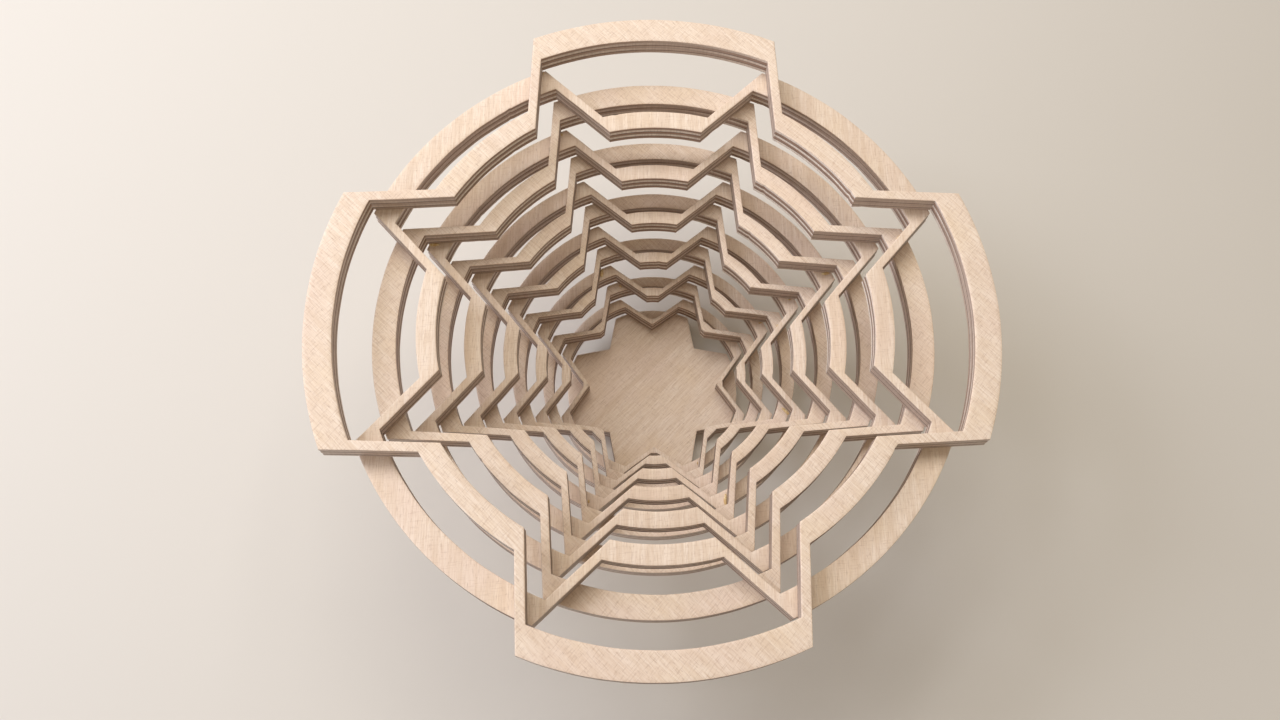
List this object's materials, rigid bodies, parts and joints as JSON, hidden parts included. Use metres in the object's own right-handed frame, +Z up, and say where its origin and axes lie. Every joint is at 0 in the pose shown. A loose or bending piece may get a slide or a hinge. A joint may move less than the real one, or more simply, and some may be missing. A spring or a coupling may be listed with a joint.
{
  "type": "fruit bowl",
  "caption": "Open fruit bowl of laser-cut plywood: lobed rings, each turned against the next, glued one on another in a stack that tapers to a solid base.",
  "frame": {"origin": "centre of the base plate's underside, on the bowl's axis", "axes": "+Z up along the bowl's axis; X and Y run through the middles of the rim ring's lobes"},
  "size_m": [0.18, 0.18, 0.078],
  "materials": {
    "birch_plywood": "sanded, unvarnished",
    "birch_plywood_base": "sanded, unvarnished"
  },
  "bodies": {
    "root": {"base_plate": "birch_plywood_base", "ring_01_rim": "birch_plywood", "ring_02": "birch_plywood", "ring_03": "birch_plywood", "ring_04": "birch_plywood", "ring_05": "birch_plywood", "ring_06": "birch_plywood", "ring_07": "birch_plywood", "ring_08": "birch_plywood", "ring_09": "birch_plywood", "ring_10": "birch_plywood", "ring_11": "birch_plywood", "ring_12": "birch_plywood"}
  },
  "joints": []
}
